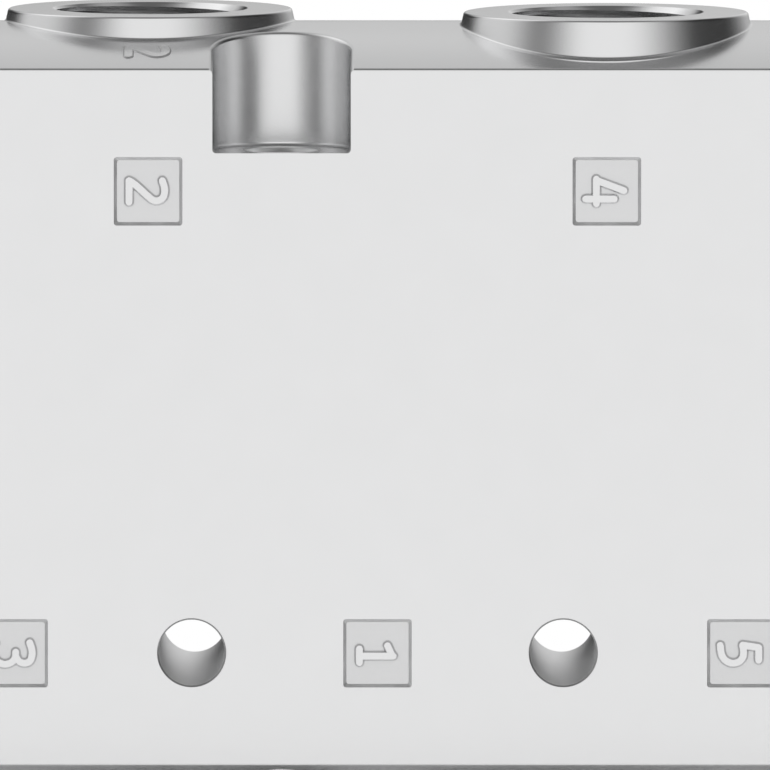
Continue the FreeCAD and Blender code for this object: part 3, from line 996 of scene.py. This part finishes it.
def cap_screw():
    """Socket head screw with its seat at the origin and its shank down -Z."""
    head, point, under, top = SCREW_HEAD_HEIGHT, 0.25, 0.1, 0.3
    profile = [(0, -SCREW_LENGTH), (SCREW_CORE_R - point, -SCREW_LENGTH)]
    profile += [(SCREW_CORE_R, point - SCREW_LENGTH), (SCREW_CORE_R, -SCREW_PLAIN)]
    profile += [(SCREW_R, point - SCREW_PLAIN), (SCREW_R, 0)]
    profile += [(SCREW_HEAD_R - under, 0), (SCREW_HEAD_R, under), (SCREW_HEAD_R, head - top)]
    profile += [(SCREW_HEAD_R - 0.3 * top, head - 0.3 * top), (SCREW_HEAD_R - top, head), (0, head)]
    bm = lathe(profile, KNURLS * 2)
    for vert in bm.verts:
        side = Vector((vert.co.x, vert.co.y))
        around = round(math.atan2(vert.co.y, vert.co.x) / math.pi * KNURLS)
        if side.length > SCREW_HEAD_R - 0.01 and around % 2:
            vert.co.xy = side * (1 - KNURL_DEPTH / SCREW_HEAD_R)
    made = to_object(bm, "screw")
    corner_r = SCREW_SOCKET / 2 / math.cos(math.pi / 6)
    socket = bmesh.new()
    bmesh.ops.create_cone(
        socket, cap_ends=True, segments=6, radius1=corner_r, radius2=corner_r, depth=2 * SCREW_SOCKET_DEPTH
    )
    moved_to(socket, (0, 0, head))
    combine(made, [socket], "DIFFERENCE")
    # A shallow cone breaks the socket's mouth
    cone = [(0, head + 0.2), (corner_r + 0.22, head + 0.2), (corner_r - 0.14, head - 0.16), (0, head - 0.16)]
    combine(made, [lathe(cone)], "DIFFERENCE")
    start, end = 0.4 - SCREW_LENGTH, -0.1 - SCREW_PLAIN
    root_r = SCREW_CORE_R - SCREW_ROOT_SET
    ridge = thread_ridge(SCREW_R, root_r, SCREW_PITCH, start, end, SCREW_THREAD_STEPS)
    return to_bmesh(combine(made, [ridge], "UNION"))


def cover_screws(side):
    """The two screws of a cover."""
    screws = []
    for y, z in SCREW_PLACES:
        screws.append(moved_to(turned_to(cap_screw(), (side, 0, 0)), (side * SCREW_SEAT, y, z)))
    return to_object(joined(screws), "screws")


def on_spool_axis(outline, soften=0.0, closed=True):
    """Turned part about the spool axis from (x, radius) points, with its corners softened."""
    bm = lathe([(radius, x) for x, radius in outline], closed=closed)
    if soften:
        rounded(bm, creases(bm, 25), soften, 3)
    return to_object(moved_to(turned_to(bm, (1, 0, 0)), (0, 0, SPOOL_Z)), "turned")


def span(node):
    """Lowest and highest X of a CAD node, and its radius about the spool axis."""
    low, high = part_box(node)
    return low.x / MM, high.x / MM, high.y / MM


def spool_seal(node):
    left, right, outer = span(node)
    middle, lip, lip_r = (left + right) / 2, LIP_WIDTH / 2, LAND_R + LIP_GAP
    outline = [(left, outer), (left, SEAL_SIDE_R), (middle - lip, lip_r), (middle + lip, lip_r)]
    outline += [(right, SEAL_SIDE_R), (right, outer)]
    return on_spool_axis(outline, SOFT_CORNER)


def cage(node):
    """Windowed ring that holds two seals apart."""
    left, right, outer = span(node)
    inner = outer - CAGE_WALL
    made = on_spool_axis([(left, inner), (right, inner), (right, outer), (left, outer)], FINE_CORNER)
    for turn in (0, 90):
        bm = bmesh.new()
        bmesh.ops.create_cube(bm, size=1)
        bmesh.ops.scale(bm, verts=bm.verts, vec=(WINDOW_LENGTH, WINDOW_WIDTH, 3 * outer))
        upright = [e for e in bm.edges if abs(e.verts[0].co.z - e.verts[1].co.z) > SAME]
        rounded(bm, upright, WINDOW_ROUND, 4)
        bmesh.ops.rotate(bm, verts=bm.verts, matrix=Matrix.Rotation(math.radians(turn), 3, "X"))
        combine(made, [moved_to(bm, ((left + right) / 2, 0, SPOOL_Z))], "DIFFERENCE")
    return made


def bush(node):
    """Flanged ring that guides the spool at one end."""
    left, right, flange = span(node)
    inward, outward = sorted((left, right), key=abs)
    shoulder = outward - math.copysign(FLANGE_SEAT_DEPTH, outward)
    outer = span("spacer_port_1")[2]
    outline = [(inward, BUSH_BORE_R), (outward, BUSH_BORE_R), (outward, flange), (shoulder, flange)]
    outline += [(shoulder, outer), (inward, outer)]
    return on_spool_axis(outline, SOFT_CORNER)


def neck(closed_seal, open_seal):
    """Outline of one neck: it starts past a closed seal and bridges the open one; the stroke swaps them."""
    reach = (span("spool_seal_1")[1] - span("spool_seal_1")[0]) / 2 + SEAL_OVERLAP
    start, end = closed_seal + reach, open_seal + STROKE - reach
    return [(start, LAND_R), (start + NECK_FLANK, NECK_R), (end - NECK_FLANK, NECK_R), (end, LAND_R)]


def spool():
    """Sliding shaft with two necks, ground lands and a stub for the spring seat."""
    left, right, _ = span("spool")
    shoulder = left + STUB_LENGTH
    places = [(i - 2.5) * CHAMBER_PITCH for i in range(6)]
    outline = [(left, 0), (left, STUB_R - STUB_CHAMFER), (left + STUB_CHAMFER, STUB_R), (shoulder, STUB_R)]
    outline += [(shoulder, LAND_R - SPOOL_CHAMFER), (shoulder + SPOOL_CHAMFER, LAND_R)]
    outline += neck(places[1], places[2]) + neck(places[3], places[4])
    outline += [(right - SPOOL_CHAMFER, LAND_R), (right, LAND_R - SPOOL_CHAMFER), (right, 0)]
    return on_spool_axis(outline, FINE_CORNER, closed=False)


def pilot_piston():
    left, right, skirt = span("pilot_piston")
    face = left + PISTON_BOSS_LENGTH
    middle = (face + right) / 2
    start, end, root = middle - GROOVE_WIDTH / 2, middle + GROOVE_WIDTH / 2, skirt - GROOVE_DEPTH
    outline = [(left, 0), (left, PISTON_BOSS_R), (face, PISTON_BOSS_R), (face, skirt), (start, skirt)]
    outline += [(start, root), (end, root), (end, skirt), (right, skirt), (right, 0)]
    return on_spool_axis(outline, SOFT_CORNER, closed=False)


def piston_seal():
    """U-cup with its lips towards the pilot port."""
    start, end, outer = span("piston_seal")
    inner = span("pilot_piston")[2] - GROOVE_DEPTH + CUP_GAP
    outline = [(start, inner), (end, inner), (end, inner + CUP_LIP)]
    outline += [(end - CUP_DEPTH, (inner + outer) / 2), (end, outer - CUP_LIP), (end, outer), (start, outer)]
    return on_spool_axis(outline, FINE_CORNER)


def bumper(node, inner):
    left, right, outer = span(node)
    outline = [(left, inner), (right, inner), (right, outer), (left, outer)]
    return on_spool_axis(outline, BUMPER_CORNER)


def spring_seat():
    """Cap on the spool's stub, with a hub that centres the spring."""
    hub_end, face, flange = span("spring_seat")
    near, hub, bore = face - SEAT_FLANGE, SEAT_HUB_R, STUB_R + LIP_GAP
    bore_end = face - STUB_LENGTH - LIP_GAP
    outline = [(hub_end, 0), (hub_end, hub), (near, hub), (near, flange), (face, flange), (face, bore)]
    return on_spool_axis(outline + [(bore_end, bore), (bore_end, 0)], SOFT_CORNER, closed=False)


def return_spring():
    """Compression spring of round wire, with a closed coil at each end."""
    left, right, _ = span("return_spring")
    length = right - left - 2 * WIRE_R
    closed_pitch = 2 * WIRE_R + 0.02
    open_pitch = (length - 2 * closed_pitch * SPRING_END_TURNS) / SPRING_TURNS
    closed_end = (SPRING_END_TURNS, closed_pitch)
    steps = 48
    bm = bmesh.new()
    bmesh.ops.create_circle(bm, cap_ends=True, segments=16, radius=WIRE_R)
    bmesh.ops.rotate(bm, verts=bm.verts, matrix=Matrix.Rotation(math.pi / 2, 3, "X"))
    moved_to(bm, (SPRING_R, 0, 0))
    last = list(bm.verts) + list(bm.edges)
    for turns, pitch in (closed_end, (SPRING_TURNS, open_pitch), closed_end):
        rise = (0, 0, pitch / steps)
        last = bmesh.ops.spin(
            bm, geom=last, axis=(0, 0, 1), dvec=rise, angle=math.tau * turns, steps=round(turns * steps)
        )["geom_last"]
    bmesh.ops.contextual_create(bm, geom=[g for g in last if isinstance(g, bmesh.types.BMEdge)])
    bmesh.ops.recalc_face_normals(bm, faces=bm.faces)
    return to_object(moved_to(turned_to(bm, (1, 0, 0)), (left + WIRE_R, 0, SPOOL_Z)), "spring")


def breather_filter():
    """Sintered disc with a slightly domed outer face."""
    left, right, outer = span("breather_filter")
    outline = [(right, 0), (right, outer), (left + 0.4, outer), (left + 0.15, outer - 0.1)]
    return on_spool_axis(outline + [(left + 0.04, outer - 0.5), (left, 0)], closed=False)


FINISHES = {
    "cast_aluminium": "cast_skin",
    "cover_polymer": "moulded_black",
    "rubber": "black_rubber",
    "zinc_steel": "zinc_plate",
    "bearing_polymer": "cream_acetal",
    "cage_polymer": "amber_polymer",
    "stainless_steel": "ground_steel",
    "spring_steel": "drawn_wire",
    "sintered_bronze": "sintered_bronze",
}
MATERIALS = {make.__name__: surface(make.__name__, make) for make in (
    cast_skin, machined_face, raw_casting, cored_hole, etched_recess, painted_edge_shade, moulded_black,
    black_rubber, zinc_plate, cream_acetal, amber_polymer, ground_steel, drawn_wire, sintered_bronze,
)}
for part in frame["record"]["subparts"]:
    mesh = frame["nodes"][part["node"]].data
    mesh.materials.clear()
    mesh.materials.append(MATERIALS[FINISHES[part["material_slot"]]])

piece(casting(), "casting", "valve", "cast_aluminium", "valve_body")
piece(pilot_cover(), "pilot_end_cover", "valve", "cover_polymer", "pilot_cover")
piece(return_cover(), "return_end_cover", "valve", "cover_polymer", "return_cover")
for side, chamber_r, node in ((1, CYLINDER_R, "pilot_gasket"), (-1, SPRING_CHAMBER_R, "return_gasket")):
    piece(gasket(side, chamber_r + GASKET_HOLE_GAP), node + "_sheet", "valve", "rubber", node)
for side, node in ((1, "pilot_cover_screws"), (-1, "return_cover_screws")):
    piece(cover_screws(side), node.replace("_cover", "_socket"), "valve", "zinc_steel", node)
for node in ("pilot_bush", "return_bush"):
    piece(bush(node), node + "_ring", "valve", "bearing_polymer", node)
for number in CHAMBERS:
    piece(cage("spacer_port_" + number), "cage_" + number, "valve", "cage_polymer", "spacer_port_" + number)
for number in range(1, 7):
    node = f"spool_seal_{number}"
    piece(spool_seal(node), f"lip_ring_{number}", "valve", "rubber", node)
piece(bumper("inner_bumper", INNER_BUMPER_R), "inner_bumper_ring", "valve", "rubber", "inner_bumper")
piece(bumper("outer_bumper", OUTER_BUMPER_R), "outer_bumper_ring", "valve", "rubber", "outer_bumper")
piece(breather_filter(), "sintered_disc", "valve", "sintered_bronze", "breather_filter")
piece(spool(), "ground_spool", "spool", "stainless_steel", "spool")
piece(spring_seat(), "spring_cap", "spool", "bearing_polymer", "spring_seat")
piece(pilot_piston(), "piston", "pilot_piston", "bearing_polymer", "pilot_piston")
piece(piston_seal(), "piston_cup", "pilot_piston", "rubber", "piston_seal")
coil = piece(return_spring(), "coil_spring", "valve", "spring_steel", "return_spring")
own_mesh(coil)


def studio():
    """White backdrop for the camera; reflections see a bright front, dark flags and a soft light behind."""
    world = bpy.data.worlds.new("studio")
    bpy.context.scene.world = world
    shader = Shader(world)
    toward = shader.node("ShaderNodeTexCoord", output=0)
    split = shader.node("ShaderNodeSeparateXYZ", None, {0: toward})
    x, y, z = (Value(shader, split.socket.node.outputs[i]) for i in range(3))
    across = shader.math("SQRT", x * x + y * y)
    height = shader.math("ARCSINE", shader.math("MAXIMUM", z, 0.0)) * (2 / math.pi)
    front = shader.node("ShaderNodeValToRGB", {"stops": FRONT_LIGHT}, {0: height})
    back = shader.node("ShaderNodeValToRGB", {"stops": BACK_LIGHT}, {0: height})
    ahead = shader.smooth(shader.math("DIVIDE", 0 - y, across), *FRONT_BLEND)
    level = back + (front - back) * ahead

    def facing(heading):
        turn = math.radians(heading)
        return x * math.sin(turn) - y * math.cos(turn)

    for heading, inner, outer, top, depth in FLAGS:
        off = shader.math("DIVIDE", facing(heading), across)
        low = 1 - shader.smooth(z, top - FLAG_FADE, top + FLAG_FADE)
        level = level * (1 - shader.spot(off, inner, outer) * low * depth)
    heading, rise, inner, outer, gain = SOFT_LIGHT
    off = facing(heading) * math.cos(math.radians(rise)) + z * math.sin(math.radians(rise))
    level = level + shader.spot(off, inner, outer) * gain
    rays = shader.node("ShaderNodeLightPath")
    glossy = Value(shader, rays.socket.node.outputs["Is Glossy Ray"])
    light = shader.node("ShaderNodeBackground", None, {0: grey(1.0), 1: 1.0})
    mirrored = shader.node("ShaderNodeBackground", None, {0: level, 1: 1.0})
    shown = shader.node("ShaderNodeMixShader", None, {0: glossy, 1: light, 2: mirrored})
    shader.node("ShaderNodeOutputWorld", None, {0: shown})


def floor():
    """Pale floor that keeps the shadow near the valve and fades into the white backdrop."""
    bm = bmesh.new()
    bmesh.ops.create_circle(bm, cap_ends=True, segments=96, radius=FLOOR_R * MM)
    made = to_object(bm, "floor")
    material = bpy.data.materials.new("pale_floor")
    shader = Shader(material)
    place = shader.node("ShaderNodeTexCoord", output=3)
    settings = {"operation": "MULTIPLY"}
    narrowed = shader.node("ShaderNodeVectorMath", settings, {0: place, 1: (FLOOR_NARROW, 1, 1)})
    away = shader.node("ShaderNodeVectorMath", {"operation": "LENGTH"}, {0: narrowed}, output=1)
    fade = shader.smooth(away, FLOOR_CLEAR * MM, FLOOR_R * FLOOR_NARROW * MM)
    matt = shader.node("ShaderNodeBsdfDiffuse", None, {"Color": grey(0.95)})
    gone = shader.node("ShaderNodeBsdfTransparent")
    shader.finish(shader.node("ShaderNodeMixShader", None, {0: fade, 1: matt, 2: gone}))
    made.data.materials.append(material)


floor()
studio()


def camera():
    """Long lens, slightly above the valve and square to its front."""
    data = bpy.data.cameras.new("camera")
    data.lens = LENS
    data.clip_start, data.clip_end = CAMERA_CLIP
    made = bpy.data.objects.new("camera", data)
    bpy.context.scene.collection.objects.link(made)
    bpy.context.scene.camera = made
    e, a = math.radians(CAMERA_ELEVATION), math.radians(CAMERA_YAW)
    back = Vector((math.sin(a) * math.cos(e), -math.cos(a) * math.cos(e), math.sin(e)))
    made.location = (Vector(CAMERA_TARGET) + back * CAMERA_DISTANCE) * MM
    made.rotation_mode = "QUATERNION"
    made.rotation_quaternion = (-back).to_track_quat("-Z", "Y")


camera()

bpy.context.scene.view_settings.view_transform = "Standard"
